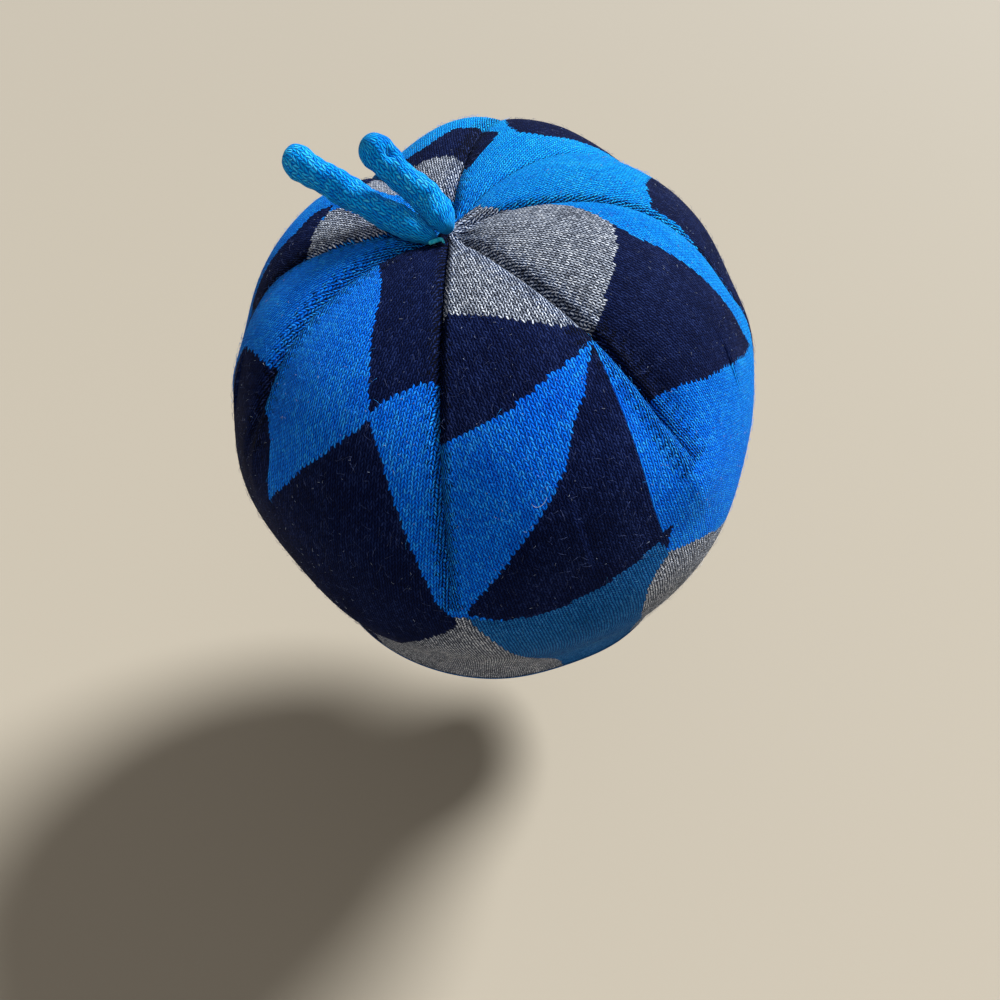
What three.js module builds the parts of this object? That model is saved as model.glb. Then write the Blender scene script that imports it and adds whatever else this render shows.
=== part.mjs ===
// Earflap beanie: a knitted tube closed over the head by eight darts, with a turned hem,
// two ear flaps below the rim and two knitted tails sewn into the top.
// Millimetres, +Z up. The origin is the centre of the rim, in the rim's plane.
// The nape is towards -Y and the face towards +Y. An azimuth is measured from the nape
// towards +X. "Down" is the distance from the top of the crown along its surface.

import * as THREE from 'three';

// ---- Driving dimensions ---------------------------------------------------------------

const CROWN = {
  widestRadius: 105,     // half the crown's width
  widestHeight: 77,      // height of the widest place above the rim
  height: 160,           // top of the crown above the rim, before it leans
  rimRadius: 80.5,       // half the rim's width
  depthRatio: 1.21,      // a head is longer than it is wide
  topSquareness: 3.9,    // exponents of the rounded upper profile
  topRoundness: 1.7,
  tuckPower: 1.1,        // how the lower profile tucks in to the rim
};
const LEAN = {           // the slack crown leans back and to the left
  towardsRight: -11.7,   // degrees
  towardsNape: 17.6,     // degrees
  pivotHeight: 67,
  fullHeight: 113,       // above this height the whole lean is reached
};
const WALL = 2.2;        // thickness of the knitted cloth
const GAP = 0.3;         // clearance between neighbouring pieces
const APEX_DIMPLE = { depth: 4, spread: 10 };

const DARTS = [          // where each dart runs: azimuth at the top and at its end
  { name: 'back',        top: 3,   end: -4,  down: 128, depth: 1.8, pouch: 1.0 },
  { name: 'back_right',  top: 39,  end: 46,  down: 119, depth: 2.6, pouch: 3.0 },
  { name: 'right',       top: 98,  end: 86,  down: 128, depth: 2.6, pouch: 1.5 },
  { name: 'front_right', top: 136, end: 122, down: 124, depth: 1.8, pouch: 2.0 },
  { name: 'front',       top: 176, end: 158, down: 122, depth: 2.4, pouch: 2.0 },
  { name: 'front_left',  top: 218, end: 214, down: 124, depth: 2.0, pouch: 2.0 },
  { name: 'left',        top: 266, end: 275, down: 112, depth: 2.6, pouch: 2.5 },
  { name: 'back_left',   top: 295, end: 308, down: 98,  depth: 3.2, pouch: 2.0 },
];
const CREASE_WIDTH = 6;  // how far a dart's crease reaches to each side
const DART_FADE = 26;    // the stretch over which a crease runs out
const POUCH_SPREAD = 13; // size of the small pouch beyond a dart's end
const PILLOW = 1.6;      // how far the cloth swells between two darts

const DENTS = [          // broad swells (out > 0) and hollows (out < 0) of the soft cloth
  { azimuth: 210, down: 70,  out: -4,   wide: 20, tall: 35 },
  { azimuth: 170, down: 70,  out: 3,    wide: 20, tall: 35 },
  { azimuth: 125, down: 85,  out: -4,   wide: 30, tall: 40 },
  { azimuth: 295, down: 130, out: 1.5,  wide: 10, tall: 25 },
  { azimuth: 315, down: 160, out: -3,   wide: 15, tall: 30 },
  { azimuth: 65,  down: 165, out: -1.5, wide: 12, tall: 25 },
  { azimuth: 20,  down: 225, out: -2,   wide: 15, tall: 20 },
];

const HEM = { height: 24, thickness: 1.6, below: 0.9 };

const FLAP = {
  azimuth: 106,          // centre of the right flap; the left one mirrors it
  halfWidth: 46,         // at the rim
  length: 64,
  roundness: 2.6,        // exponent of the rounded tip
  flare: 5,              // the top corners spread into the rim
  flareDepth: 12,
  leanIn: 9,             // the tip hangs this much nearer the cheek
};

const TAILS = [          // knitted tubes; a route's lift is the clear height above the cloth
  {
    name: 'tail_long',
    rootRadius: 4.6,
    tipRadius: 6,
    route: [
      { azimuth: 292, down: 10, lift: 0.4 },
      { azimuth: 268, down: 15.5, lift: 0.8 },
      { azimuth: 262, down: 21.5, lift: 1.8 },
      { azimuth: 253, down: 34, lift: 5.5 },
      { azimuth: 251, down: 43, lift: 10.8 },
      { azimuth: 250, down: 49, lift: 15.8 },
      { azimuth: 251, down: 52, lift: 19.5 },
    ],
  },
  {
    name: 'tail_short',
    rootRadius: 5.3,
    tipRadius: 5.5,
    route: [
      { azimuth: 14,  down: 7.5, lift: -0.8 },
      { azimuth: 356, down: 3,  lift: 1.2 },
      { azimuth: 237, down: 5,  lift: 5 },
      { azimuth: 243, down: 13, lift: 11 },
      { azimuth: 245, down: 16.5, lift: 15 },
      { azimuth: 247, down: 20, lift: 19.5 },
      { azimuth: 250, down: 22, lift: 23 },
    ],
  },
];

// How finely the pieces are faceted.
const COLUMNS_PER_GORE = 10;
const CROWN_ROWS = 24;
const HEM_COLUMNS = 64;
const FLAP_COLUMNS = 12;
const FLAP_ROWS = 10;
const TAIL_SIDES = 10;
const TAIL_STEPS = 16;
const TAIL_END_CROWDING = 0.12; // steps crowd at the rounded ends

const COLOURS = {
  blue: 0x0f6fd6,
  navy: 0x14193a,
  steel: 0x4b5d70,
};

// ---- The crown's surface --------------------------------------------------------------

const radians = THREE.MathUtils.degToRad;

function profileSamples() {
  const samples = [];
  const c = CROWN;
  const steps = 400;
  for (let i = 0; i <= steps; i += 1) {
    const angle = (i / steps) * Math.PI / 2;
    const radius = c.widestRadius * Math.sin(angle) ** (2 / c.topSquareness);
    const rise = Math.max(Math.cos(angle), 0) ** (2 / c.topRoundness);
    samples.push({ radius, z: c.widestHeight + (c.height - c.widestHeight) * rise });
  }
  for (let i = steps - 1; i >= 0; i -= 1) {
    const share = i / steps;
    const tuck = Math.sin(share * Math.PI / 2) ** c.tuckPower;
    samples.push({
      radius: c.rimRadius + (c.widestRadius - c.rimRadius) * tuck,
      z: c.widestHeight * share,
    });
  }
  let down = 0;
  samples.forEach((sample, i) => {
    if (i > 0) {
      const before = samples[i - 1];
      down += Math.hypot(sample.radius - before.radius, sample.z - before.z);
    }
    sample.down = down;
  });
  return samples;
}

const PROFILE = profileSamples();
const RIM_DOWN = PROFILE[PROFILE.length - 1].down;

// Radius, height and outward direction of the profile at a distance down from the top.
function profileAt(down) {
  const wanted = THREE.MathUtils.clamp(down, 0, RIM_DOWN);
  let low = 0;
  let high = PROFILE.length - 1;
  while (high - low > 1) {
    const middle = (low + high) >> 1;
    if (PROFILE[middle].down <= wanted) low = middle;
    else high = middle;
  }
  const a = PROFILE[low];
  const b = PROFILE[high];
  const share = (wanted - a.down) / (b.down - a.down);
  const run = b.radius - a.radius;
  const fall = a.z - b.z;
  const length = Math.hypot(run, fall);
  return {
    radius: a.radius + run * share,
    z: a.z - fall * share,
    outward: fall / length,
    upward: run / length,
  };
}

function smooth(value) {
  const x = THREE.MathUtils.clamp(value, 0, 1);
  return x * x * (3 - 2 * x);
}

function turnBetween(a, b) {
  return ((a - b + 540) % 360) - 180;
}

function dartAzimuth(dart, down) {
  const share = THREE.MathUtils.clamp(down / dart.down, 0, 1);
  return dart.top + (dart.end - dart.top) * share;
}

function dartStrength(dart, down) {
  return smooth((dart.down + 4 - down) / DART_FADE);
}

// How far the soft cloth stands out from the plain profile.
function swell(azimuth, down, radius) {
  let out = -APEX_DIMPLE.depth * Math.exp(-((down / APEX_DIMPLE.spread) ** 2));
  for (const dent of DENTS) {
    const turn = turnBetween(azimuth, dent.azimuth) / dent.wide;
    const along = (down - dent.down) / dent.tall;
    out += dent.out * Math.exp(-turn * turn - along * along);
  }
  let nearest = Infinity;
  let strength = 0;
  for (const dart of DARTS) {
    const across = radius * radians(turnBetween(azimuth, dartAzimuth(dart, down)));
    const pull = dartStrength(dart, down);
    out -= dart.depth * pull * smooth(down / 14) * Math.exp(-Math.abs(across) / CREASE_WIDTH);
    if (Math.abs(across) < nearest) {
      nearest = Math.abs(across);
      strength = pull;
    }
    const side = radius * radians(turnBetween(azimuth, dart.end)) / POUCH_SPREAD;
    const along = (down - dart.down - 7) / POUCH_SPREAD;
    out += dart.pouch * Math.exp(-side * side - along * along);
  }
  const fullness = smooth(nearest / 28) * smooth(down / 50);
  return out + PILLOW * fullness * strength;
}

// The crown leans back and to the left, more towards its top.
function lean(point) {
  const share = smooth(point.z / LEAN.fullHeight);
  const sideways = radians(LEAN.towardsRight) * share;
  const backwards = radians(LEAN.towardsNape) * share;
  const above = point.z - LEAN.pivotHeight;
  const x = point.x * Math.cos(sideways) + above * Math.sin(sideways);
  const risen = above * Math.cos(sideways) - point.x * Math.sin(sideways);
  const y = point.y * Math.cos(backwards) - risen * Math.sin(backwards);
  const z = risen * Math.cos(backwards) + point.y * Math.sin(backwards);
  return new THREE.Vector3(x, y, z + LEAN.pivotHeight);
}

// A point of the crown, `inset` below the outer face of the cloth.
function crownPoint(azimuth, down, inset) {
  const at = profileAt(down);
  const out = swell(azimuth, down, at.radius) - inset;
  const radius = Math.max(at.radius + out * at.outward, 0);
  const angle = radians(azimuth);
  return lean(new THREE.Vector3(
    radius * Math.sin(angle),
    -radius * Math.cos(angle) * CROWN.depthRatio,
    at.z + out * at.upward,
  ));
}

// ---- Solids from grids of points ------------------------------------------------------

function solidFrom(points, faces) {
  const geometry = new THREE.BufferGeometry();
  const positions = points.flatMap((point) => [point.x, point.y, point.z]);
  geometry.setAttribute('position', new THREE.Float32BufferAttribute(positions, 3));
  geometry.setIndex(faces.flat());
  geometry.computeVertexNormals();
  return geometry;
}

// Joins closed rings of equal length; the first and last rings are closed by end points.
function loft(rings, firstPoint, lastPoint) {
  const sides = rings[0].length;
  const points = rings.flat();
  const first = points.push(firstPoint) - 1;
  const last = points.push(lastPoint) - 1;
  const faces = [];
  for (let side = 0; side < sides; side += 1) {
    const next = (side + 1) % sides;
    faces.push([first, side, next]);
    for (let ring = 0; ring < rings.length - 1; ring += 1) {
      const above = ring * sides;
      const below = above + sides;
      faces.push([above + side, below + side, below + next]);
      faces.push([above + side, below + next, above + next]);
    }
    const lowest = (rings.length - 1) * sides;
    faces.push([lowest + side, last, lowest + next]);
  }
  return solidFrom(points, faces);
}

// Joins closed rings of equal length into a band whose last ring meets its first.
function band(rings) {
  const sides = rings[0].length;
  const points = rings.flat();
  const faces = [];
  for (let ring = 0; ring < rings.length; ring += 1) {
    const above = ring * sides;
    const below = ((ring + 1) % rings.length) * sides;
    for (let side = 0; side < sides; side += 1) {
      const next = (side + 1) % sides;
      faces.push([above + side, below + side, below + next]);
      faces.push([above + side, below + next, above + next]);
    }
  }
  return solidFrom(points, faces);
}

// A sheet of cloth between an outer and an inner grid of points, closed round its edges.
function slab(outer, inner) {
  const rows = outer.length;
  const columns = outer[0].length;
  const points = [...outer.flat(), ...inner.flat()];
  const faces = [];
  const front = (row, column) => row * columns + column;
  const back = (row, column) => rows * columns + front(row, column);
  const quad = (a, b, c, d) => faces.push([a, b, c], [a, c, d]);
  for (let row = 0; row < rows - 1; row += 1) {
    for (let column = 0; column < columns - 1; column += 1) {
      quad(front(row, column), front(row + 1, column),
        front(row + 1, column + 1), front(row, column + 1));
      quad(back(row, column), back(row, column + 1),
        back(row + 1, column + 1), back(row + 1, column));
    }
    const end = columns - 1;
    quad(front(row, 0), back(row, 0), back(row + 1, 0), front(row + 1, 0));
    quad(front(row, end), front(row + 1, end), back(row + 1, end), back(row, end));
  }
  for (let column = 0; column < columns - 1; column += 1) {
    const bottom = rows - 1;
    quad(front(0, column), front(0, column + 1), back(0, column + 1), back(0, column));
    quad(front(bottom, column), back(bottom, column),
      back(bottom, column + 1), front(bottom, column + 1));
  }
  return solidFrom(points, faces);
}

// ---- The pieces -----------------------------------------------------------------------

// One ring of the crown: columns crowd towards the darts, where the cloth is creased.
function crownRing(down, inset) {
  const ring = [];
  DARTS.forEach((dart, index) => {
    const next = DARTS[(index + 1) % DARTS.length];
    const from = dartAzimuth(dart, down);
    const width = (dartAzimuth(next, down) - from + 360) % 360;
    for (let column = 0; column < COLUMNS_PER_GORE; column += 1) {
      const share = column / COLUMNS_PER_GORE;
      const crowded = share - Math.sin(2 * Math.PI * share) * 0.09;
      ring.push(crownPoint(from + width * crowded, down, inset));
    }
  });
  return ring;
}

function crownGeometry() {
  const rings = [];
  for (let row = 1; row <= CROWN_ROWS; row += 1) {
    rings.push(crownRing((row / CROWN_ROWS) * RIM_DOWN, 0));
  }
  for (let row = CROWN_ROWS; row >= 1; row -= 1) {
    rings.push(crownRing((row / CROWN_ROWS) * RIM_DOWN, WALL));
  }
  return loft(rings, crownPoint(0, 0, 0), crownPoint(0, 0, WALL));
}

// The turned hem stands just inside the crown and shows a little below its rim.
function hemGeometry() {
  const ringAt = (down, inset, lower) => {
    const ring = [];
    for (let column = 0; column < HEM_COLUMNS; column += 1) {
      const azimuth = (column / HEM_COLUMNS) * 360;
      const point = crownPoint(azimuth, down, inset);
      point.z -= lower;
      ring.push(point);
    }
    return ring;
  };
  const clear = WALL + 2 * GAP;
  const middle = RIM_DOWN - HEM.height / 2;
  const top = RIM_DOWN - HEM.height;
  return band([
    ringAt(top, clear, 0),
    ringAt(middle, clear, 0),
    ringAt(RIM_DOWN, clear, 0),
    ringAt(RIM_DOWN, clear, HEM.below),
    ringAt(RIM_DOWN, clear + HEM.thickness, HEM.below),
    ringAt(middle, clear + HEM.thickness, 0),
    ringAt(top, clear + HEM.thickness, 0),
  ]);
}

// Half the flap's width at a depth below the rim.
function flapHalfWidth(depth) {
  const share = depth / FLAP.length;
  const tongue = (1 - share ** FLAP.roundness) ** (1 / FLAP.roundness);
  const flare = FLAP.flare * Math.exp(-((depth / FLAP.flareDepth) ** 2));
  return FLAP.halfWidth * tongue + flare;
}

function flapGeometry(side) {
  const rim = crownPoint(side * FLAP.azimuth, RIM_DOWN, 0);
  const rimReach = Math.hypot(rim.x, rim.y);
  const gridAt = (inset) => {
    const grid = [];
    for (let row = 0; row <= FLAP_ROWS; row += 1) {
      const share = Math.sin((row / FLAP_ROWS) * Math.PI / 2);
      const depth = share * (FLAP.length - 0.4);
      const halfTurn = THREE.MathUtils.radToDeg(flapHalfWidth(depth) / rimReach);
      const line = [];
      for (let column = 0; column <= FLAP_COLUMNS; column += 1) {
        const across = (column / FLAP_COLUMNS) * 2 - 1;
        const azimuth = side * FLAP.azimuth + across * halfTurn;
        const point = crownPoint(azimuth, RIM_DOWN, inset);
        const inward = FLAP.leanIn * (depth / FLAP.length) ** 1.5;
        const shrink = 1 - inward / rimReach;
        line.push(new THREE.Vector3(point.x * shrink, point.y * shrink, -GAP - depth));
      }
      grid.push(line);
    }
    return grid;
  };
  return slab(gridAt(0), gridAt(WALL));
}

// A knitted tube along a smooth route, with a rounded tip and a rounded root.
function tailGeometry(tail) {
  const corners = tail.route.map((place) => (
    crownPoint(place.azimuth, place.down, -place.lift - tail.rootRadius)
  ));
  const curve = new THREE.CatmullRomCurve3(corners);
  const frames = curve.computeFrenetFrames(TAIL_STEPS, false);
  const length = curve.getLength();
  const radiusAt = (share) => {
    const plain = tail.rootRadius + (tail.tipRadius - tail.rootRadius) * share;
    const fromEnd = Math.min(share, 1 - share) * length;
    const inside = THREE.MathUtils.clamp(1 - fromEnd / plain, 0, 1);
    return plain * Math.sqrt(1 - inside * inside);
  };
  const rings = [];
  for (let step = 1; step < TAIL_STEPS; step += 1) {
    const even = step / TAIL_STEPS;
    const share = even - Math.sin(2 * Math.PI * even) * TAIL_END_CROWDING;
    const centre = curve.getPointAt(share);
    const radius = radiusAt(share);
    const ring = [];
    for (let side = 0; side < TAIL_SIDES; side += 1) {
      const angle = (-side / TAIL_SIDES) * 2 * Math.PI;
      ring.push(centre.clone()
        .addScaledVector(frames.normals[step], Math.cos(angle) * radius)
        .addScaledVector(frames.binormals[step], Math.sin(angle) * radius));
    }
    rings.push(ring);
  }
  return loft(rings, curve.getPointAt(0), curve.getPointAt(1));
}

// ---- The scene graph ------------------------------------------------------------------

function knit(colour) {
  return new THREE.MeshStandardMaterial({ color: colour, roughness: 0.9, metalness: 0 });
}

function piece(name, geometry, colour) {
  const mesh = new THREE.Mesh(geometry, knit(colour));
  mesh.name = name;
  return mesh;
}

const beanie = new THREE.Group();
beanie.add(piece('crown', crownGeometry(), COLOURS.blue));
beanie.add(piece('hem_band', hemGeometry(), COLOURS.steel));
beanie.add(piece('ear_flap_right', flapGeometry(1), COLOURS.navy));
beanie.add(piece('ear_flap_left', flapGeometry(-1), COLOURS.navy));
for (const tail of TAILS) {
  beanie.add(piece(tail.name, tailGeometry(tail), COLOURS.blue));
}

export default beanie;
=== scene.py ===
"""Earflap beanie: the knitted cloth, hem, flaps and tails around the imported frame.

Lengths are millimetres until a mesh is made, and metres after that. An azimuth is measured in
degrees from the nape (-Y) towards +X. "Down" is the distance from the crown's top along the
plain profile, and an inset is the depth below the outer face of the cloth.
"""
import math

import bpy
import numpy as np
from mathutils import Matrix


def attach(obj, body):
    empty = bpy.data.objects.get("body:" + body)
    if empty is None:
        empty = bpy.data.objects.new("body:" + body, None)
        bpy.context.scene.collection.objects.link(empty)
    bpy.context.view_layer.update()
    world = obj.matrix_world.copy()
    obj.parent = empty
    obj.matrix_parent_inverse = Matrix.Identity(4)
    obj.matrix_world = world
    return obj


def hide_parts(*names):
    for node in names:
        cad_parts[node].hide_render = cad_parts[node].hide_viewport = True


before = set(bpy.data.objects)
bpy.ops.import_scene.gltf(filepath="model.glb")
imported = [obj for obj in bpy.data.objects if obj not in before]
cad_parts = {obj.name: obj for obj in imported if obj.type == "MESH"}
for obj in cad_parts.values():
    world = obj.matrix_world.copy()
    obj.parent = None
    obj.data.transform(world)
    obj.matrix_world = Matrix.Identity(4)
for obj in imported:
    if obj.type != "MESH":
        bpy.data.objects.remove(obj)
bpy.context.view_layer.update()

MM = 0.001
rng = np.random.default_rng(seed=7)

# ---- Sizes, as in the part's source -----------------------------------------------------

WIDEST_RADIUS = 105.0
WIDEST_HEIGHT = 77.0
CROWN_HEIGHT = 160.0
RIM_RADIUS = 80.5
DEPTH_RATIO = 1.21
TOP_SQUARENESS = 3.9
TOP_ROUNDNESS = 1.7
TUCK_POWER = 1.1
LEAN_RIGHT = -11.7
LEAN_NAPE = 17.6
LEAN_PIVOT = 67.0
LEAN_FULL_HEIGHT = 113.0
WALL = 2.2
APEX_DEPTH, APEX_SPREAD = 4.0, 10.0
CREASE_WIDTH = 6.0
CREASE_START = 14.0  # a crease deepens over this first stretch
DART_FADE = 26.0
DART_OVERRUN = 4.0  # how far a crease and its seam run on past the dart's end
POUCH_SPREAD = 13.0
POUCH_BEYOND = 7.0  # from a dart's end to the middle of its pouch
PILLOW = 1.6
PILLOW_ACROSS, PILLOW_DOWN = 28.0, 50.0  # it is full this far from a dart, and from the top

DARTS = [  # name, azimuth at the top, azimuth at the end, down, depth, pouch
    ("back", 3, -4, 128, 1.8, 1.0),
    ("back_right", 39, 46, 119, 2.6, 3.0),
    ("right", 98, 86, 128, 2.6, 1.5),
    ("front_right", 136, 122, 124, 1.8, 2.0),
    ("front", 176, 158, 122, 2.4, 2.0),
    ("front_left", 218, 214, 124, 2.0, 2.0),
    ("left", 266, 275, 112, 2.6, 2.5),
    ("back_left", 295, 308, 98, 3.2, 2.0),
]
DENTS = [  # azimuth, down, out, wide, tall
    (210, 70, -4.0, 20, 35),
    (170, 70, 3.0, 20, 35),
    (125, 85, -4.0, 30, 40),
    (295, 130, 1.5, 10, 25),
    (315, 160, -3.0, 15, 30),
    (65, 165, -1.5, 12, 25),
    (20, 225, -2.0, 15, 20),
]
HEM_HEIGHT = 24.0
FLAP_AZIMUTH = 106.0
FLAP_HALF_WIDTH = 46.0
FLAP_LENGTH = 64.0
FLAP_ROUNDNESS = 2.6
FLAP_FLARE, FLAP_FLARE_DEPTH = 5.0, 12.0
FLAP_LEAN_IN, FLAP_LEAN_POWER = 9.0, 1.5
FLAP_INSET = 0.2
FLAP_TOP = 0.4  # height of its upper edge above the rim
FLAP_DROP, FLAP_DROP_REACH = 0.7, 4.0  # it hangs lower by this, reached at that depth
FLAP_TIP_GAP = 0.4  # the last row stops short of the tip
TAILS = {  # root radius, tip radius, then azimuth, down, lift along the route
    "tail_long": (4.6, 6.0, [
        (292, 10, 0.4), (268, 15.5, 0.8), (262, 21.5, 1.8), (253, 34, 5.5),
        (251, 43, 10.8), (250, 49, 15.8), (251, 52, 19.5)]),
    "tail_short": (5.3, 5.5, [
        (14, 7.5, -0.8), (356, 3, 1.2), (237, 5, 5), (243, 13, 11),
        (245, 16.5, 15), (247, 20, 19.5), (250, 22, 23)]),
}

# ---- The knit ---------------------------------------------------------------------------

WALE = 1.9  # width of a stitch
COURSE = 1.353  # height of a stitch
SEAM_TUCK, SEAM_TUCK_WIDTH = 1.8, 1.2  # how far the last stitches turn in at a dart
SEAM_SHARPNESS = {"front_right": 0.15, "right": 0.5}  # share of the tuck, where a dart lies flatter
SEAM_ALLOWANCE = 1.2  # how deep the folded edges inside a seam reach

# ---- The crown's surface ----------------------------------------------------------------


def profile_samples():
    """Radius, height and distance down of points along the plain profile, from top to rim."""
    steps = 400
    angle = np.linspace(0, math.pi / 2, steps + 1)
    radius = WIDEST_RADIUS * np.sin(angle) ** (2 / TOP_SQUARENESS)
    rise = np.clip(np.cos(angle), 0, None) ** (2 / TOP_ROUNDNESS)
    z = WIDEST_HEIGHT + (CROWN_HEIGHT - WIDEST_HEIGHT) * rise
    share = np.arange(steps - 1, -1, -1) / steps
    tuck = np.sin(share * math.pi / 2) ** TUCK_POWER
    radius = np.append(radius, RIM_RADIUS + (WIDEST_RADIUS - RIM_RADIUS) * tuck)
    z = np.append(z, WIDEST_HEIGHT * share)
    stretches = np.hypot(np.diff(radius), np.diff(z))
    return radius, z, np.append(0, np.cumsum(stretches))


PROFILE_RADIUS, PROFILE_HEIGHT, PROFILE_DOWN = profile_samples()
RIM_DOWN = PROFILE_DOWN[-1]


def profile(down):
    """Radius, height, and the outward and upward parts of the profile's normal."""
    down = np.clip(down, 0, RIM_DOWN)
    i = np.clip(np.searchsorted(PROFILE_DOWN, down, side="right") - 1, 0, len(PROFILE_DOWN) - 2)
    share = (down - PROFILE_DOWN[i]) / (PROFILE_DOWN[i + 1] - PROFILE_DOWN[i])
    run = PROFILE_RADIUS[i + 1] - PROFILE_RADIUS[i]
    fall = PROFILE_HEIGHT[i] - PROFILE_HEIGHT[i + 1]
    length = np.hypot(run, fall)
    radius = PROFILE_RADIUS[i] + run * share
    return radius, PROFILE_HEIGHT[i] - fall * share, fall / length, run / length


def smooth(value):
    """From 0 to 1, level at both ends."""
    x = np.clip(value, 0, 1)
    return x * x * (3 - 2 * x)


def turn_between(a, b):
    """Degrees from azimuth b to azimuth a, the short way round."""
    return (a - b + 540) % 360 - 180


def dart_azimuth(dart, down):
    _, top, end, length, _, _ = dart
    return top + (end - top) * np.clip(down / length, 0, 1)


def swell(azimuth, down, radius, tuck):
    """How far the soft cloth stands out from the plain profile."""
    out = -APEX_DEPTH * np.exp(-((down / APEX_SPREAD) ** 2))
    for centre, middle, reach, wide, tall in DENTS:
        turn = turn_between(azimuth, centre) / wide
        out = out + reach * np.exp(-turn * turn - ((down - middle) / tall) ** 2)
    nearest = np.full(np.shape(out), np.inf)
    strength = np.zeros(np.shape(out))
    for dart in DARTS:
        name, _, end, length, depth, pouch = dart
        across = radius * np.radians(turn_between(azimuth, dart_azimuth(dart, down)))
        pull = smooth((length + DART_OVERRUN - down) / DART_FADE)
        sharp = depth * np.exp(-abs(across) / CREASE_WIDTH)
        seam = np.exp(-((across / SEAM_TUCK_WIDTH) ** 2))
        sharp = sharp + tuck * SEAM_SHARPNESS.get(name, 1.0) * seam
        out = out - pull * smooth(down / CREASE_START) * sharp
        closer = abs(across) < nearest
        nearest = np.where(closer, abs(across), nearest)
        strength = np.where(closer, pull, strength)
        side = radius * np.radians(turn_between(azimuth, end)) / POUCH_SPREAD
        along = (down - length - POUCH_BEYOND) / POUCH_SPREAD
        out = out + pouch * np.exp(-side * side - along * along)
    return out + PILLOW * smooth(nearest / PILLOW_ACROSS) * smooth(down / PILLOW_DOWN) * strength


def lean(x, y, z):
    """The crown leans to the nape and to the left, more towards its top."""
    share = smooth(z / LEAN_FULL_HEIGHT)
    sideways = math.radians(LEAN_RIGHT) * share
    backwards = math.radians(LEAN_NAPE) * share
    above = z - LEAN_PIVOT
    new_x = x * np.cos(sideways) + above * np.sin(sideways)
    risen = above * np.cos(sideways) - x * np.sin(sideways)
    new_y = y * np.cos(backwards) - risen * np.sin(backwards)
    new_z = risen * np.cos(backwards) + y * np.sin(backwards)
    return np.stack([new_x, new_y, new_z + LEAN_PIVOT], -1)


def crown_point(azimuth, down, inset=0.0, tuck=0.0):
    """A place on or in the cloth; tuck is how far it turns in at a dart's seam."""
    azimuth, down, inset = np.broadcast_arrays(
        np.asarray(azimuth, float), np.asarray(down, float), np.asarray(inset, float))
    radius, z, outward, upward = profile(down)
    out = swell(azimuth, down, radius, tuck) - inset
    reach = np.maximum(radius + out * outward, 0)
    angle = np.radians(azimuth)
    return lean(
        reach * np.sin(angle),
        -reach * np.cos(angle) * DEPTH_RATIO,
        z + out * upward,
    )


# ---- Meshes -----------------------------------------------------------------------------


def make_object(name, points, faces, uvs, materials, face_material=None, weld=0.0,
                keep_last=False):
    """A mesh from points in mm, faces as lists of indices, and one (u, v) per face corner.

    Points in one cell of a grid of the weld's size become one, and faces that this closes up go.
    Of faces with the same corners only the first stays, or only the last. validate() would
    also leave one of them, but not the same one each run.
    """
    points = np.asarray(points, float)
    if weld:
        keys = np.round(points / weld).astype(np.int64)
        _, first, where = np.unique(keys, axis=0, return_index=True, return_inverse=True)
        where = where.reshape(-1)
        points = points[first]
        faces = [[where[i] for i in face] for face in faces]
    staying = {}
    for number, face in enumerate(faces):
        corners = [i for i in range(len(face)) if face[i] != face[i - 1]]
        distinct = frozenset(face[i] for i in corners)
        if len(corners) < 3 or len(distinct) < len(corners):
            continue
        if keep_last or distinct not in staying:
            staying[distinct] = number, corners
    kept_faces, kept_uvs, kept_material = [], [], []
    for number, corners in sorted(staying.values()):
        kept_faces.append([int(faces[number][i]) for i in corners])
        kept_uvs.extend(uvs[number][i] for i in corners)
        kept_material.append(0 if face_material is None else int(face_material[number]))
    mesh = bpy.data.meshes.new(name)
    mesh.from_pydata((points * MM).tolist(), [], kept_faces)
    mesh.uv_layers.new(name="stitches")
    mesh.uv_layers["stitches"].uv.foreach_set("vector", np.ravel(kept_uvs).astype(np.float32))
    for material in materials:
        mesh.materials.append(material)
    mesh.polygons.foreach_set("material_index", kept_material)
    mesh.polygons.foreach_set("use_smooth", [True] * len(kept_faces))
    mesh.validate()
    mesh.update()
    piece = bpy.data.objects.new(name, mesh)
    bpy.context.scene.collection.objects.link(piece)
    return piece


def grid_quads(grid):
    """The corners of every square: upper left, lower left, lower right and upper right."""
    return np.stack([grid[:-1, :-1], grid[1:, :-1], grid[1:, 1:], grid[:-1, 1:]], 2)


def grid_faces(rows, columns, closed=True):
    """Faces of points numbered row by row; closed joins the last column to the first."""
    index = np.arange(rows * columns).reshape(rows, columns)
    if closed:
        index = np.hstack([index, index[:, :1]])
    return grid_quads(index).reshape(-1, 4).tolist()


def grid_uvs(rows, columns, u, v):
    """Corner UVs of closed grid_faces: u and v are functions of column and row numbers."""
    across, down = np.meshgrid(u(np.arange(columns + 1)), v(np.arange(rows)))
    return grid_quads(np.stack([across, down], -1)).reshape(-1, 4, 2).tolist()


# ---- Yarn materials ---------------------------------------------------------------------


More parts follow.
